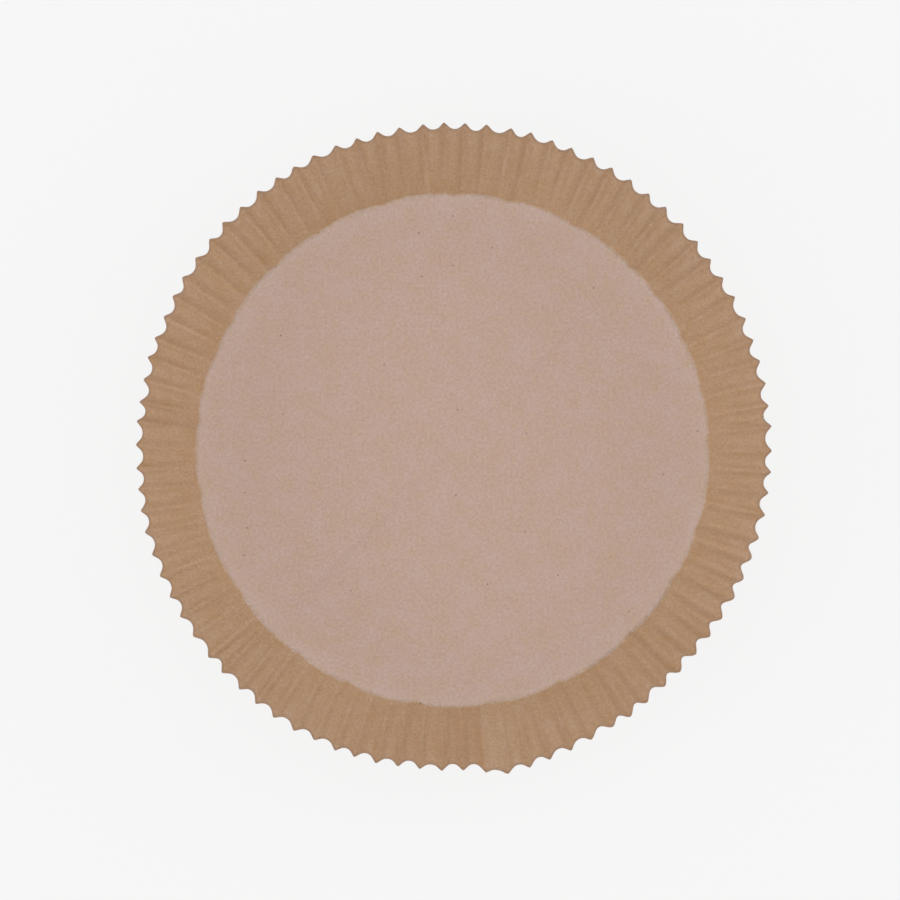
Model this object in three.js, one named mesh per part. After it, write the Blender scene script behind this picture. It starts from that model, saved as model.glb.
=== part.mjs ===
// A round paper baking mold: one disc of unbleached greaseproof paper, pressed between fluted dies
// into a shallow cup. The floor stays flat. The wall flares up from a rounded fold, and the spare
// paper of the disc goes into pleats, which start at nothing at the fold and deepen up to the rim.
// Millimetres, +Z up. The origin is the middle of the floor, on the surface that the cup stands on.

import * as THREE from 'three';

// The cup
const rimDiameter = 200; // across the outer creases
const rimHeight = 45; // to the ends of the outer creases
const floorDiameter = 160; // flat floor, between the inner edges of the fold
const foldRadius = 1.5; // in the middle of the paper's thickness
const paperThickness = 0.06; // about 40 g for each square metre

// The pleats
const pleatCount = 90;
const pleatTakeUp = 0.92; // share of the full pleat depth that the press leaves in the sheet
const creaseSharpness = 1; // power of the sine between two creases: 1 is a cusp, 2 a smooth wave
const firstCreaseAngle = 3.8; // degrees from +X

// Every so many pleats, the inner bend of one runs on over the fold and pinches the floor's edge
const pleatsPerPinch = 3;
const pinchDepth = 0.8;
const pinchSharpness = 0.7; // power of the sine between two pinches: the smaller, the sharper

// The rim as it springs back: slightly oval, with one stretch that stands out where a pleat is weak
const ovalReach = 1; // out on the long axis, and in on the short one
const ovalAngle = 82; // long axis, degrees from +X
const springReach = 3;
const springStart = 273.6; // degrees from +X
const springRise = 6; // degrees in which it comes out
const springFade = 20; // degrees in which it falls back to a third

// Fineness of the mesh
const stepsPerPleat = 4;
const foldSteps = 2;
const wallSteps = 5;

const fullTurn = 2 * Math.PI;
const radians = THREE.MathUtils.degToRad;
const floorRadius = floorDiameter / 2;
const midFloor = paperThickness / 2;

// Section of the wall, in the plane of the axis. The wall is straight and touches the fold's arc,
// so its slope follows from the line between the fold's centre and the rim.
const rimSpread = rimDiameter / 2 - floorRadius;
const rimRise = rimHeight - midFloor - foldRadius;
const wallLength = Math.sqrt(rimSpread ** 2 + rimRise ** 2 - foldRadius ** 2);
const wallSlope = Math.atan2(rimRise, rimSpread) + Math.atan2(foldRadius, wallLength);
const foldLength = foldRadius * wallSlope;
const flankLength = foldLength + wallLength;

// The middle of the paper at a distance along it from the floor's edge: radius, height and slope.
function section(distance) {
  const slope = Math.min(distance / foldRadius, wallSlope);
  const along = Math.max(distance - foldLength, 0);
  return {
    radius: floorRadius + foldRadius * Math.sin(slope) + along * Math.cos(slope),
    height: midFloor + foldRadius * (1 - Math.cos(slope)) + along * Math.sin(slope),
    slope,
  };
}

// Depth of the pleats at a distance from the floor's edge. A ring of the flat disc is longer than
// the ring of the cup that it becomes. A wave of small depth d and pitch p is longer than p by the
// share (pi d / 2 p) squared, so the depth follows from the spare length.
function pleatDepth(distance, radius) {
  const spare = Math.max((floorRadius + distance) / radius - 1, 0);
  const pitch = (fullTurn * radius) / pleatCount;
  return pleatTakeUp * (2 / Math.PI) * pitch * Math.sqrt(spare);
}

// How far a place between two outer creases is pressed in: 0 on a crease, 1 halfway.
function pressedIn(turn) {
  return Math.abs(Math.sin(Math.PI * turn * pleatCount)) ** creaseSharpness;
}

// How far the floor's edge is pinched in, sharply, halfway between two creases.
function pinchedIn(turn) {
  const pinches = (turn * pleatCount - 0.5) / pleatsPerPinch;
  return pinchDepth * (1 - Math.abs(Math.sin(Math.PI * pinches)) ** pinchSharpness);
}

// How far the rim stands out of its circle in a direction.
function sprungOut(angle) {
  const oval = ovalReach * Math.cos(2 * (angle - radians(ovalAngle)));
  const past = THREE.MathUtils.euclideanModulo(angle - radians(springStart), fullTurn);
  const rise = THREE.MathUtils.smoothstep(past, 0, radians(springRise));
  const fade = Math.exp(-Math.max(past - radians(springRise), 0) / radians(springFade));
  return oval + springReach * rise * fade;
}

// A point in the middle of the paper: a share of a turn from the first crease, and a distance
// from the floor's edge.
function paperPoint(turn, distance) {
  const angle = radians(firstCreaseAngle) + fullTurn * turn;
  const { radius, height, slope } = section(distance);
  const pressed = pleatDepth(distance, radius) * pressedIn(turn);
  const share = distance / flankLength;
  const shift = share * sprungOut(angle) - (1 - share) * pinchedIn(turn);
  const reach = radius + shift - pressed * Math.sin(slope);
  const rise = height + pressed * Math.cos(slope);
  return new THREE.Vector3(reach * Math.cos(angle), reach * Math.sin(angle), rise);
}

// Distances of the rings of points: even round the fold, and closer low on the wall, so that the
// pleats deepen by about the same amount from each ring to the next.
function ringDistances() {
  const fold = Array.from({ length: foldSteps + 1 }, (_, k) => (foldLength * k) / foldSteps);
  const wall = Array.from({ length: wallSteps }, (_, k) => {
    return foldLength + wallLength * ((k + 1) / wallSteps) ** 2;
  });
  return [...fold, ...wall];
}

// The sheet without thickness: its points, its triangles (facing into the cup) and its cut edge.
function pressedSheet() {
  const columns = pleatCount * stepsPerPleat;
  const rings = ringDistances();
  const points = [new THREE.Vector3(0, 0, midFloor)];
  for (const distance of rings) {
    for (let i = 0; i < columns; i += 1) {
      points.push(paperPoint(i / columns, distance));
    }
  }
  const at = (ring, i) => 1 + ring * columns + (i % columns);
  const triangles = [];
  for (let i = 0; i < columns; i += 1) {
    triangles.push([0, at(0, i), at(0, i + 1)]);
    for (let ring = 0; ring + 1 < rings.length; ring += 1) {
      triangles.push([at(ring, i), at(ring + 1, i), at(ring + 1, i + 1)]);
      triangles.push([at(ring, i), at(ring + 1, i + 1), at(ring, i + 1)]);
    }
  }
  const edge = Array.from({ length: columns }, (_, i) => at(rings.length - 1, i));
  return { points, triangles, edge };
}

// The way from the middle of the paper to its inner face at each point. It lies along the mean
// normal of the triangles there, and is longer at a crease, as a mitre is, so that the paper keeps
// its thickness on both sides of it.
function mitres({ points, triangles }) {
  const normals = triangles.map(([a, b, c]) => {
    return new THREE.Triangle(points[a], points[b], points[c]).getNormal(new THREE.Vector3());
  });
  const ways = points.map(() => new THREE.Vector3());
  triangles.forEach((corners, k) => corners.forEach((p) => ways[p].add(normals[k])));
  ways.forEach((way) => way.normalize());
  const lean = points.map(() => ({ sum: 0, count: 0 }));
  triangles.forEach((corners, k) => {
    for (const p of corners) {
      lean[p].sum += ways[p].dot(normals[k]);
      lean[p].count += 1;
    }
  });
  return ways.map((way, p) => way.multiplyScalar((midFloor * lean[p].count) / lean[p].sum));
}

// A closed solid from the sheet: its inner face, its outer face and the cut edge between them.
function thickened(sheet) {
  const ways = mitres(sheet);
  const inner = sheet.points.map((point, p) => point.clone().add(ways[p]));
  const outer = sheet.points.map((point, p) => point.clone().sub(ways[p]));
  const under = (p) => p + inner.length;
  const index = sheet.triangles.flatMap(([a, b, c]) => [a, b, c, under(c), under(b), under(a)]);
  sheet.edge.forEach((p, i) => {
    const next = sheet.edge[(i + 1) % sheet.edge.length];
    index.push(next, p, under(p), next, under(p), under(next));
  });
  const geometry = new THREE.BufferGeometry().setFromPoints([...inner, ...outer]);
  geometry.setIndex(index);
  geometry.computeVertexNormals();
  return geometry;
}

const unbleachedPaper = new THREE.MeshStandardMaterial({ color: 0xb7997f, roughness: 0.85, metalness: 0 });

const paperMold = new THREE.Mesh(thickened(pressedSheet()), unbleachedPaper);
paperMold.name = 'paper_mold';

const model = new THREE.Group();
model.add(paperMold);

export default model;
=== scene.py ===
import math

import bpy
import numpy as np
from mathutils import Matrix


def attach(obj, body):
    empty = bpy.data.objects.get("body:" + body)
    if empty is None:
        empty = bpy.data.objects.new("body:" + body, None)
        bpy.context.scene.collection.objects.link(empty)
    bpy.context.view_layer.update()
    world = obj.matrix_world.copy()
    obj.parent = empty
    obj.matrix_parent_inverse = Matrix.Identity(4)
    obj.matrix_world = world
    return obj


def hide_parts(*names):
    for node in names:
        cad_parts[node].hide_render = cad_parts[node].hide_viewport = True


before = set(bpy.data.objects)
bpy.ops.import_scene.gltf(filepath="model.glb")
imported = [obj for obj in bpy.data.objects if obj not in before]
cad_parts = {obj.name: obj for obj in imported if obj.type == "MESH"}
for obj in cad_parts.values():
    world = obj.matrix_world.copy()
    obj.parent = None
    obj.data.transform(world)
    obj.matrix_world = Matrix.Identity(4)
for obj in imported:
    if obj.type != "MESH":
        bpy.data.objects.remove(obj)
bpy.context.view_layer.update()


# The pressed sheet is the whole mold: one disc of unbleached greaseproof paper, pressed while
# damp between fluted dies. Its floor stays flat, its wall flares up from a rounded fold, and the
# spare paper of the wall stands in 90 pleats with sharp outer creases and round inner bends.
MM = 0.001
paper_thickness = 0.06 * MM
floor_radius = 80.6 * MM
fold_radius = 0.9 * MM
rim_radius = 99.6 * MM
crease_height = 45 * MM

pleats = 90
steps_per_pleat = 12
first_crease = math.radians(3.8)
crease_power = 1.5
fullness = 0.5
take_up = 0.92

# No two pleats are pressed alike: the spread of their creases' places and reach, of their depth,
# and of how far they lean over.
wander_spread = math.radians(0.14)
reach_spread = 0.16 * MM
strength_spread, weakest, strongest = 0.055, 0.8, 1.2
skew_middle, skew_spread = -0.02, 0.07
rng = np.random.default_rng(90)
crease_wander = wander_spread * rng.standard_normal(pleats)
crease_reach = reach_spread * rng.standard_normal(pleats)
pleat_strength = np.clip(1 + strength_spread * rng.standard_normal(pleats), weakest, strongest)
pleat_skew = skew_middle + skew_spread * rng.standard_normal(pleats)

# The rim springs out of round in slow waves (waves in a turn, reach, angle of the first top), its
# creases slide round with them, and it stands out past a weak pleat, where the paper is nearly
# smooth. Past that stretch, the pleats are deeper and lean over one way.
rim_waves = ((1, 0.36 * MM, 118), (2, 0.97 * MM, 80.5), (3, 0.47 * MM, -4), (4, 0.10 * MM, -11))
spring_reach = 3.0 * MM
spring_start = math.radians(273.6)
spring_rise = math.radians(6)
spring_fade = math.radians(20)
slide_waves = ((1, 0.09, -8), (2, 0.40, 98), (3, 0.07, 39), (4, 0.24, -7))  # reach in degrees
weak_pleats, weak_strengths = slice(67, 70), (0.92, 0.72, 0.92)
deep_pleats, deeper = slice(74, 85), 1.08
leaning_pleats, more_skew = slice(73, 85), 0.4
pleat_strength[weak_pleats] = weak_strengths
pleat_strength[deep_pleats] *= deeper
pleat_skew[leaning_pleats] += more_skew

# At these pleats, counted from +X, the inner bend runs on over the fold and pinches the floor.
pinched_pleats = (
    89, 2, 5, 8, 10, 14, 18, 21, 25, 29, 32, 36, 38, 42, 46, 52, 57, 60, 64, 68, 72, 77, 81, 84
)
pinch_depth = 0.85 * MM
pinch_width = 0.55  # in pleats
pinch_fade = 2.5 * MM  # inward over the floor

# Slow waves of the floor: their height, and the length and phase of each, across and along.
floor_wave = 0.25 * MM
wave_across, phase_across = 13 * MM, 1.2
wave_along, phase_along = 17 * MM, -0.6

# Rings of points: distances in from the floor's edge, even steps round the fold, and closer steps
# low on the wall.
floor_rings = np.array([77, 70, 60, 48, 34, 22, 13, 7, 3.5, 1.8, 1.1, 0.5]) * MM
fold_steps = 6
wall_steps = 25
wall_crowding = 1.5

columns = pleats * steps_per_pleat
rim_spread = rim_radius - floor_radius
rim_rise = crease_height - paper_thickness / 2 - fold_radius
wall_length = math.sqrt(rim_spread**2 + rim_rise**2 - fold_radius**2)
wall_slope = math.atan2(rim_rise, rim_spread) + math.atan2(fold_radius, wall_length)
fold_length = fold_radius * wall_slope
flank_length = fold_length + wall_length


def section(past):
    """Radius, height and slope of the sheet's middle at a distance past the floor's edge.

    An arc of fold_radius turns from flat to wall_slope, and a straight line goes on from it.
    """
    slope = np.clip(past / fold_radius, 0, wall_slope)
    along = np.maximum(past - fold_length, 0)
    reached = floor_radius + np.minimum(past, 0)
    radius = reached + fold_radius * np.sin(slope) + along * np.cos(slope)
    height = paper_thickness / 2 + fold_radius * (1 - np.cos(slope)) + along * np.sin(slope)
    return radius, height, slope


def pleat_depth(past, radius):
    """Depth of a full pleat: (2 / pi) of its pitch times the root of the spare length's share.

    The spare length is how much longer a ring of the flat disc is than the ring it becomes.
    """
    spare = np.maximum((floor_radius + past) / radius - 1, 0) * (past > 0)
    return take_up * (2 / math.pi) * (2 * math.pi * radius / pleats) * np.sqrt(spare)


def sprung_out(angle):
    """How far the rim stands out of its circle: a sum of cosines and a smooth step that fades."""
    out = sum(reach * np.cos(n * (angle - math.radians(top))) for n, reach, top in rim_waves)
    past = np.mod(angle - spring_start, 2 * math.pi)
    rise = np.clip(past / spring_rise, 0, 1)
    fade = np.exp(-np.maximum(past - spring_rise, 0) / spring_fade)
    return out + spring_reach * rise**2 * (3 - 2 * rise) * fade


def slid_round(angle):
    """How far a crease slides round at the rim, in radians: a sum of sines of the angle."""
    waves = [
        math.radians(reach) * np.sin(n * (angle - math.radians(top)))
        for n, reach, top in slide_waves
    ]
    return -sum(waves)


def pinched_in(place):
    """How far the floor's edge is pinched in at a place counted in pleats.

    Each pinch is a peak that falls off as exp(-distance / width) from the middle of its pleat.
    """
    total = np.zeros_like(place)
    for pleat in pinched_pleats:
        apart = np.abs(np.mod(place - pleat - 0.5 + pleats / 2, pleats) - pleats / 2)
        total += np.exp(-apart / pinch_width)
    return pinch_depth * total


def sheet_grid(past):
    """Points of the sheet's middle on a grid of rings (distances past the floor's edge) by columns.

    Between two creases the paper is pressed in along the section's normal, by depth * w * (1 +
    fullness * (1 - w)), where w is sin(pi * share) ** crease_power. The pinches fade from the
    floor's edge to the rim, and the spring of the rim fades the other way. The floor's waves are
    a product of two sines, times inside ** 2 * (1 - inside), whose peak is 4 / 27.
    """
    place = np.arange(columns) / steps_per_pleat
    pleat = place.astype(int)
    share = place - pleat
    creases = first_crease + 2 * math.pi * np.arange(pleats + 1) / pleats
    creases += np.append(crease_wander, crease_wander[0])
    angle = np.interp(place, np.arange(pleats + 1), creases)
    skewed = share - pleat_skew[pleat] * np.sin(2 * math.pi * share) / (2 * math.pi)
    pressed = np.abs(np.sin(math.pi * skewed)) ** crease_power
    pressed = pressed * (1 + fullness * (1 - pressed)) * pleat_strength[pleat]
    radius, height, slope = (part[:, None] for part in section(past))
    depth = pleat_depth(past[:, None], radius) * pressed
    rise = np.clip(past / flank_length, 0, 1)[:, None]
    reach = crease_reach[pleat] * (1 - share) + crease_reach[(pleat + 1) % pleats] * share
    shift = rise * (sprung_out(angle) + reach)
    pinch = np.where(past > 0, 1 - past / flank_length, np.exp(past / pinch_fade))[:, None]
    shift = shift - pinch * pinched_in(place)
    across = radius + shift - depth * np.sin(slope)
    turned = angle + rise * slid_round(angle)
    x, y = across * np.cos(turned), across * np.sin(turned)
    inside = np.clip(1 + past / floor_radius, 0, 1)[:, None]
    wave = np.sin(x / wave_across + phase_across) * np.sin(y / wave_along + phase_along) + 1
    lift = floor_wave * wave * inside**2 * (1 - inside) * (27 / 4) / 2
    return np.stack([x, y, height + depth * np.cos(slope) + lift], axis=-1), angle, share, pressed


past = np.concatenate(
    [
        -floor_rings,
        fold_length * np.arange(fold_steps + 1) / fold_steps,
        fold_length + wall_length * (np.arange(1, wall_steps + 1) / wall_steps) ** wall_crowding,
    ]
)
middle, angle, share, pressed = sheet_grid(past)
rings = len(past)


def grid_normals(points):
    """Unit normals of a closed grid: the cross product of its two central differences."""
    around = np.roll(points, -1, axis=1) - np.roll(points, 1, axis=1)
    outward = np.gradient(points, axis=0)
    normal = np.cross(outward, around)
    return normal / np.linalg.norm(normal, axis=-1, keepdims=True)


offset = grid_normals(middle) * paper_thickness / 2
pole = np.array([[0, 0, middle[0, :, 2].mean()]])
half = np.array([[0, 0, paper_thickness / 2]])
inner = np.concatenate([pole + half, (middle + offset).reshape(-1, 3)])
outer = np.concatenate([pole - half, (middle - offset).reshape(-1, 3)])
per_skin = len(inner)

index = 1 + np.arange(rings * columns).reshape(rings, columns)
right = np.roll(index, -1, axis=1)
quads = np.stack([index[:-1], index[1:], right[1:], right[:-1]], axis=-1).reshape(-1, 4)
fan = np.stack([np.zeros(columns, int), index[0], right[0]], axis=-1)
rim = np.stack([right[-1], index[-1], index[-1] + per_skin, right[-1] + per_skin], axis=-1)
faces = quads.tolist() + (quads[:, ::-1] + per_skin).tolist() + rim.tolist()
faces += fan.tolist() + (fan[:, ::-1] + per_skin).tolist()

mesh = bpy.data.meshes.new("pressed_sheet")
mesh.from_pydata(np.concatenate([inner, outer]).tolist(), [], faces)
mesh.polygons.foreach_set("use_smooth", np.ones(len(mesh.polygons), bool))


def both_skins(values, at_pole):
    """One value for each vertex of the mesh, from a grid of values and the one at the pole."""
    grid = np.broadcast_to(values, (rings, columns) + np.shape(values)[2:])
    flat = grid.reshape((rings * columns,) + grid.shape[2:])
    one = np.concatenate([np.array([at_pole], dtype=float), flat])
    return np.concatenate([one, one])


def add_attribute(name, kind, key, values):
    """Stores one value for each vertex under a name that the paper's material reads."""
    made = mesh.attributes.new(name, kind, "POINT")
    made.data.foreach_set(key, values.astype(np.float32).ravel())


# Where each point lay on the flat disc, so that fibres run on over the fold and the pleats. The
# press draws the wall's fibres out to about twice their length, so there the place lags behind by
# this share of the way.
drawn_out = 0.55
disc_radius = floor_radius + past[:, None]
drawn_radius = disc_radius - drawn_out * np.maximum(past[:, None], 0)
flat_x, flat_y = drawn_radius * np.cos(angle), drawn_radius * np.sin(angle)
flat_place = both_skins(np.stack([flat_x, flat_y, 0 * flat_x], axis=-1), [0, 0, 0])
add_attribute("flat_place", "FLOAT_VECTOR", "vector", flat_place)

# A place round the wall, with its length drawn together, for the streaks that the press leaves.
streak_radius = 90 * MM
streak_draw = 0.05
streak_x, streak_y = streak_radius * np.cos(angle), streak_radius * np.sin(angle)
streak_place = np.broadcast_arrays(streak_x, streak_y, streak_draw * past[:, None])
streak_place = both_skins(np.stack(streak_place, axis=-1), [0, 0, 0])
add_attribute("streak_place", "FLOAT_VECTOR", "vector", streak_place)

# The floor's painted sheen, a paler and greyer border, comes slowly from the middle and faster near
# the edge. Beside it go the distance past the edge (millimetres) and the share of the way up the
# wall.
border_slow, border_power = 0.5, 2.5
border_near, border_width = 0.5, 4 * MM
floor_sheen = border_slow * np.clip(disc_radius / floor_radius, 0, 1) ** border_power
floor_sheen = floor_sheen + border_near * np.exp(np.minimum(past[:, None], 0) / border_width)
up_wall = np.clip(past[:, None] / flank_length, 0, 1)
add_attribute("floor_sheen", "FLOAT", "value", both_skins(floor_sheen, 0))
add_attribute("past_edge", "FLOAT", "value", both_skins(past[:, None] / MM, -floor_radius / MM))
add_attribute("up_wall", "FLOAT", "value", both_skins(up_wall, 0))

# A painted highlight runs along the outer creases, just past their tops and brighter on some than
# others. The highlight begins low on the wall, and the cut edge is a line of its own.
crease_width = 0.6 * MM
crease_lean = 0.035  # in pleats
highlight_begins = 15 * MM
faintest_highlight, brightest_highlight = 0.45, 0.9
dim_pleats, dimmer = slice(73, 83), 0.5
edge_width = 0.4 * MM
pitch = 2 * math.pi * disc_radius / pleats
nearest_crease = (np.arange(columns) + steps_per_pleat // 2) // steps_per_pleat % pleats
highlight_strength = rng.uniform(faintest_highlight, brightest_highlight, pleats)
highlight_strength[dim_pleats] *= dimmer
from_crease = np.abs(np.mod(share - crease_lean + 0.5, 1) - 0.5) * pitch
highlit = highlight_strength[nearest_crease] * np.exp(-((from_crease / crease_width) ** 2))
crease_highlight = highlit * np.clip(past[:, None] / highlight_begins, 0, 1)
add_attribute("crease_highlight", "FLOAT", "value", both_skins(crease_highlight, 0))
edge_line = np.clip(1 - (flank_length - past[:, None]) / edge_width, 0, 1)
add_attribute("edge_line", "FLOAT", "value", both_skins(edge_line, 0))

# Painted shade darkens the fold's inner corner in places, as a share of the full line: most at the
# pleats listed.
faintest_fold_shade, deepest_fold_shade = 0.2, 0.6
darkest_folds = ((slice(75, 77), 0.9), (slice(78, 82), 1.0))
fold_shade_share = rng.uniform(faintest_fold_shade, deepest_fold_shade, pleats)
for shaded_pleats, shade_depth in darkest_folds:
    fold_shade_share[shaded_pleats] = shade_depth
add_attribute("fold_shade_share", "FLOAT", "value", both_skins(fold_shade_share[nearest_crease][None, :], 0))

# At the weak pleat, painted shade darkens the paper before its crease and painted light brightens
# it after, from rim to fold, and each fades within so many pleats.
seam_crease = 68
shade_pleats = 2.2
light_pleats = 1.6
from_seam = np.arange(columns) / steps_per_pleat - seam_crease
from_seam = np.mod(from_seam + pleats / 2, pleats) - pleats / 2
lit_after = np.where(from_seam > 0, np.exp(-from_seam / light_pleats), 0)
shaded_before = np.where(from_seam > 0, 0, np.exp(from_seam / shade_pleats))
seam_shading = (lit_after - shaded_before)[None, :] * (past[:, None] > 0)
add_attribute("seam_shading", "FLOAT", "value", both_skins(seam_shading, 0))

sheet = bpy.data.objects.new("pressed_sheet", mesh)
bpy.context.collection.objects.link(sheet)


def linear(red, green, blue):
    """A colour as the shader takes it, from its 0 to 255 screen values, by the screen's curve."""
    screen = np.array([red, green, blue]) / 255
    low, high = screen / 12.92, ((screen + 0.055) / 1.055) ** 2.4
    return tuple(np.where(screen <= 0.04045, low, high)) + (1.0,)


paper = bpy.data.materials.new("unbleached_greaseproof")
paper.use_nodes = True
tree = paper.node_tree
tree.nodes.clear()


def node(kind, inputs=None, **settings):
    """A new node of the paper's material, with its settings and the sockets to fill or link."""
    made = tree.nodes.new(kind)
    for name, value in settings.items():
        setattr(made, name, value)
    for name, value in (inputs or {}).items():
        if isinstance(value, bpy.types.NodeSocket):
            tree.links.new(value, made.inputs[name])
        else:
            made.inputs[name].default_value = value
    return made


def attribute(name, output="Fac"):
    """The values that the mesh holds under a name."""
    return node("ShaderNodeAttribute", attribute_name=name).outputs[output]


def noise(place, grain, detail=2.0, rough=0.5):
    """Noise with bumps about grain metres across."""
    made = node("ShaderNodeTexNoise", {"Vector": place, "Scale": 1 / grain, "Detail": detail})
    made.inputs["Roughness"].default_value = rough
    return made.outputs["Fac"]


def math_node(operation, first, second=0.0):
    """One value worked out from two."""
    return node("ShaderNodeMath", {0: first, 1: second}, operation=operation).outputs[0]


def ranged(value, low, high, to_low=0.0, to_high=1.0):
    """A value carried from one range to another, and held to its ends."""
    sockets = {"Value": value, "From Min": low, "From Max": high}
    sockets.update({"To Min": to_low, "To Max": to_high})
    return node("ShaderNodeMapRange", sockets).outputs["Result"]


def mixed(share_of_second, first, second, blend="MIX"):
    """The first colour with a share of the second, or of the two multiplied, mixed in."""
    made = node("ShaderNodeMix", data_type="RGBA", blend_type=blend)
    for socket, value in ((0, share_of_second), (6, first), (7, second)):
        if isinstance(value, bpy.types.NodeSocket):
            tree.links.new(value, made.inputs[socket])
        else:
            made.inputs[socket].default_value = value
    return made.outputs[2]


# Colours are those of one skin of the sheet, which looks darker with the other behind it. The
# paper is thin enough for light to pass: of the light on a skin, through_share goes on inward.
through_share = 0.6
# One paper lies under both: the floor's tone holds painted sheen, and the wall's darker, deeper tan
# holds painted shade and light passed between the walls, lighter towards the rim.
floor_paper_and_sheen = linear(225.0, 207.4, 200)
# The paler, greyer border is painted sheen.
border_sheen = linear(231, 217.3, 213)
wall_paper_and_shade = linear(220.5, 198.4, 176.3)
rim_paper_and_shade = linear(222.5, 200.4, 179.3)
# The painted highlight on the creases' tops.
crease_highlight_tone = linear(236, 218, 202)
edge_brown = linear(150, 100, 76)
fleck_brown = linear(110, 76, 60)
crease_highlight_share = 0.45
edge_share = 0.3

# The wall's colour, with its painted shade, begins over the fold, at a place that wanders a little
# (millimetres).
wall_begins = (-0.5, 1.4)
fray = 0.45
fray_size = 1.5 * MM
fray_span = (0.3, 0.7)

# A line of painted shade darkens the fold's inner corner: its middle and half its width past the
# floor's edge (millimetres), and the tint of its darkest place. The weak pleat has painted shade
# before and painted light after.
fold_middle = 0.1
fold_reach = 1.1
fold_shade = (0.88, 0.885, 0.9, 1)
seam_shade, seam_light = (0.98, 0.955, 0.925, 1), (1.02, 1.045, 1.075, 1)

# Fibres lie in clouds, greyer and yellower, and show as a fine even grain. The wall, which the
# press draws out, is mottled and streaked as well. Each tint multiplies the paper's colour.
cloud_size = 9 * MM
cloud_span = (0.36, 0.64)
cloud_grey = linear(255, 255, 255)
cloud_yellow = linear(252, 248, 235)
grain_size = 0.9 * MM
grain_span = (0.25, 0.75)
grain_dark, grain_pale = (0.905, 0.875, 0.842, 1), (1.095, 1.125, 1.158, 1)
wall_grain_size = 0.65 * MM
wall_grain_dark, wall_grain_pale = (0.93, 0.87, 0.79, 1), (1.07, 1.13, 1.21, 1)
mottle_size = 3.5 * MM
mottle_span = (0.3, 0.7)
mottle_dark, mottle_pale = (0.98, 0.955, 0.915, 1), (1.02, 1.045, 1.085, 1)
streak_size = 0.9 * MM
streak_dark, streak_pale = (0.985, 0.975, 0.955, 1), (1.015, 1.025, 1.045, 1)

flat = attribute("flat_place", "Vector")
frayed = ranged(noise(flat, fray_size, rough=0.7), *fray_span, -fray, fray)
past_edge = math_node("ADD", attribute("past_edge"), frayed)
wall = ranged(past_edge, *wall_begins)
# The floor's border is painted sheen, paler and greyer towards the edge.
base = mixed(attribute("floor_sheen"), floor_paper_and_sheen, border_sheen)
# The wall's painted shade, lighter up the wall, takes over from the floor's painted sheen.
base = mixed(wall, base, mixed(attribute("up_wall"), wall_paper_and_shade, rim_paper_and_shade))
# Painted highlight along the creases.
base = mixed(math_node("MULTIPLY", attribute("crease_highlight"), crease_highlight_share), base, crease_highlight_tone)

cloud = ranged(noise(flat, cloud_size, detail=5.0, rough=0.95), *cloud_span)
base = mixed(1.0, base, mixed(cloud, cloud_grey, cloud_yellow), "MULTIPLY")
grain = noise(flat, grain_size, rough=0.8)
grain_tint = mixed(ranged(grain, *grain_span), grain_dark, grain_pale)
base = mixed(1.0, base, grain_tint, "MULTIPLY")
mottle = ranged(noise(flat, mottle_size, detail=3.0, rough=0.8), *mottle_span)
base = mixed(wall, base, mixed(mottle, mottle_dark, mottle_pale), "MULTIPLY")
drawn = ranged(noise(flat, wall_grain_size, rough=0.8), *grain_span)
base = mixed(wall, base, mixed(drawn, wall_grain_dark, wall_grain_pale), "MULTIPLY")
streak = noise(attribute("streak_place", "Vector"), streak_size, rough=0.6)
streak_tint = mixed(ranged(streak, *grain_span), streak_dark, streak_pale)
base = mixed(wall, base, streak_tint, "MULTIPLY")

# Painted shade in the fold's inner corner.
from_fold = math_node("ABSOLUTE", math_node("SUBTRACT", past_edge, fold_middle))
fold_shading = math_node("MULTIPLY", ranged(from_fold, fold_reach, 0.0), attribute("fold_shade_share"))
base = mixed(fold_shading, base, fold_shade, "MULTIPLY")
# Painted shade before the weak pleat's crease and painted light after it.
seam = ranged(attribute("seam_shading"), -1.0, 1.0)
base = mixed(1.0, base, mixed(seam, seam_shade, seam_light), "MULTIPLY")

# A few dark flecks of bark, under half a millimetre across, which show less on the wall. Only a
# share of the places for them, which lie about a spacing apart, hold one.
fleck_spacing = 11 * MM
fleck_radius = 0.02  # of the spacing
fleck_share = 0.15
fleck_on_floor, fleck_on_wall = 0.7, 0.4
cells = {"Vector": flat, "Scale": 1 / fleck_spacing}
cell = node("ShaderNodeTexVoronoi", cells, voronoi_dimensions="2D").outputs
near = math_node("LESS_THAN", cell["Distance"], fleck_radius)
chance = node("ShaderNodeSeparateColor", {0: cell["Color"]}).outputs[0]
fleck = math_node("MULTIPLY", near, math_node("LESS_THAN", chance, fleck_share))
fleck_shown = ranged(wall, 0.0, 1.0, fleck_on_floor, fleck_on_wall)
fleck = math_node("MULTIPLY", fleck, fleck_shown)
base = mixed(fleck, base, fleck_brown)
base = mixed(math_node("MULTIPLY", attribute("edge_line"), edge_share), base, edge_brown)

# The fibres stand a little out of the surface, and the paper is matt, smoother between them.
tooth_height = 0.05 * MM
tooth_strength = 0.3
gloss_span = (0.35, 0.65)
smoothest, roughest = 0.62, 0.78
gloss = 0.4
tooth = math_node("ADD", grain, math_node("MULTIPLY", streak, wall))
bumps = {"Height": tooth, "Strength": tooth_strength, "Distance": tooth_height}
tooth_normal = node("ShaderNodeBump", bumps).outputs[0]
roughness = ranged(grain, *gloss_span, smoothest, roughest)
skin = {"Base Color": base, "Normal": tooth_normal, "Roughness": roughness}
skin["Specular IOR Level"] = gloss
shader = node("ShaderNodeBsdfPrincipled", skin)
through = node("ShaderNodeBsdfTranslucent", {"Color": base, "Normal": tooth_normal})
sheer = node("ShaderNodeMixShader", {0: through_share, 1: shader.outputs[0], 2: through.outputs[0]})
node("ShaderNodeOutputMaterial", {"Surface": sheer.outputs[0]})
mesh.materials.append(paper)

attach(sheet, "root")
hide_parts("paper_mold")


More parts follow.
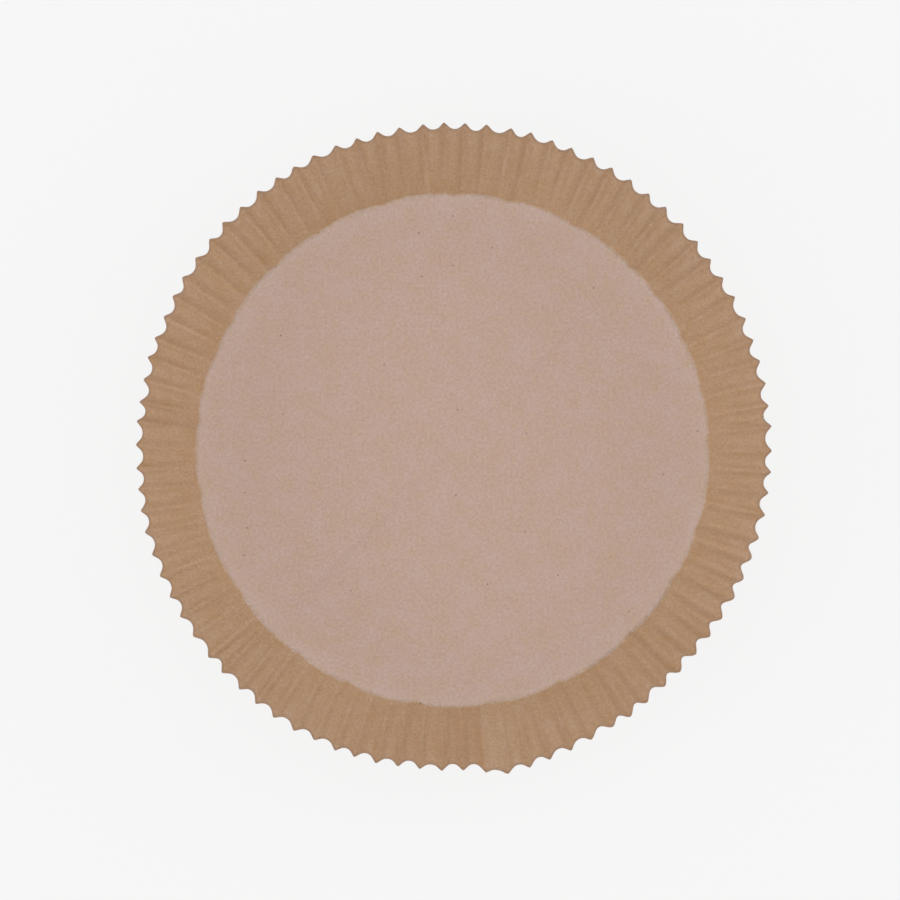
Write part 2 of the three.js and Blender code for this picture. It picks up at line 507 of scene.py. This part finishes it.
# The table is a pale sheet that the mold stands on. It glows for the camera at the tone of the
# pale surroundings, and part of its light is its own shading, so that the mold's shadow stays.
table_half = 4.0
table_drop = 0.1 * MM
table_tone = linear(247, 247, 247)
own_glow = 0.9

table_mesh = bpy.data.meshes.new("table")
corners = [(-1, -1), (1, -1), (1, 1), (-1, 1)]
points = [(x * table_half, y * table_half, -table_drop) for x, y in corners]
table_mesh.from_pydata(points, [], [(0, 1, 2, 3)])
table = bpy.data.objects.new("table", table_mesh)
bpy.context.collection.objects.link(table)
table_paint = bpy.data.materials.new("pale_table")
table_paint.use_nodes = True
tree = table_paint.node_tree
tree.nodes.clear()


def seen_straight():
    """1 for what is seen straight, in a gloss or through a thing, and 0 for other light."""
    path = node("ShaderNodeLightPath").outputs
    either = math_node("MAXIMUM", path["Is Camera Ray"], path["Is Glossy Ray"])
    return math_node("MAXIMUM", either, path["Is Transmission Ray"])


lit = node("ShaderNodeBsdfDiffuse", {"Color": table_tone})
glow = node("ShaderNodeEmission", {"Color": table_tone, "Strength": 1.0})
both = node(
    "ShaderNodeMixShader",
    {0: math_node("MULTIPLY", seen_straight(), own_glow), 1: lit.outputs[0], 2: glow.outputs[0]},
)
node("ShaderNodeOutputMaterial", {"Surface": both.outputs[0]})
table_mesh.materials.append(table_paint)


# Soft light: an even pale room, a wide lamp overhead, and two weaker ones at the left and right.
room_light = 0.71
world = bpy.data.worlds.new("pale_room")
world.use_nodes = True
tree = world.node_tree
tree.nodes.clear()
shown = node("ShaderNodeBackground", {"Color": table_tone, "Strength": 1.0})
given = node("ShaderNodeBackground", {"Color": (1, 1, 1, 1), "Strength": room_light})
room = node("ShaderNodeMixShader", {0: seen_straight(), 1: given.outputs[0], 2: shown.outputs[0]})
node("ShaderNodeOutputWorld", {"Surface": room.outputs[0]})
bpy.context.scene.world = world


def soft_lamp(name, place, size, level):
    """A square lamp that faces the mold and lights a surface that faces it to a level of 1."""
    lamp = bpy.data.lights.new(name, "AREA")
    lamp.size = size
    distance = math.dist(place, (0, 0, 0))
    lamp.energy = level * math.pi**2 * distance**2
    made = bpy.data.objects.new(name, lamp)
    made.location = place
    made.rotation_euler = (-made.location).to_track_quat("-Z", "Y").to_euler()
    made.visible_camera = False
    bpy.context.collection.objects.link(made)


overhead_side, overhead_level = 2.4, 0.19
side_lamp_side, left_level, right_level = 1.2, 0.12, 0.09
soft_lamp("lamp_overhead", (0, 0.2, 3.4), overhead_side, overhead_level)
soft_lamp("lamp_left", (-2.1, -0.7, 1.5), side_lamp_side, left_level)
soft_lamp("lamp_right", (2.1, 0.7, 1.5), side_lamp_side, right_level)


# The camera looks down into the mouth from far off. It stands a little nearer the lower edge of
# the picture and leans forward, and the rim's middle lies just off the picture's middle.
picture_side = 900
rim_pixels = 641.8
rim_middle = (452.8, 447.7)
camera_distance = 3.0
lean_forward = math.radians(0.93)
lean_right = math.radians(0.06)
sensor_width = 36.0
far_end = 20.0

pixel = 2 * rim_radius / rim_pixels
camera_data = bpy.data.cameras.new("camera")
camera_data.sensor_width = sensor_width
camera_data.lens = sensor_width * camera_distance / (picture_side * pixel)
camera_data.shift_x = (picture_side / 2 - rim_middle[0]) / picture_side
camera_data.shift_y = (rim_middle[1] - picture_side / 2) / picture_side
camera_data.clip_end = far_end
camera = bpy.data.objects.new("camera", camera_data)
away = (-math.sin(lean_right), -math.sin(lean_forward), 1.0)
camera.location = tuple(camera_distance * part for part in away)
camera.location.z += crease_height
camera.rotation_euler = (lean_forward, -lean_right, 0)
bpy.context.collection.objects.link(camera)
bpy.context.scene.camera = camera
bpy.context.scene.view_settings.view_transform = "Standard"
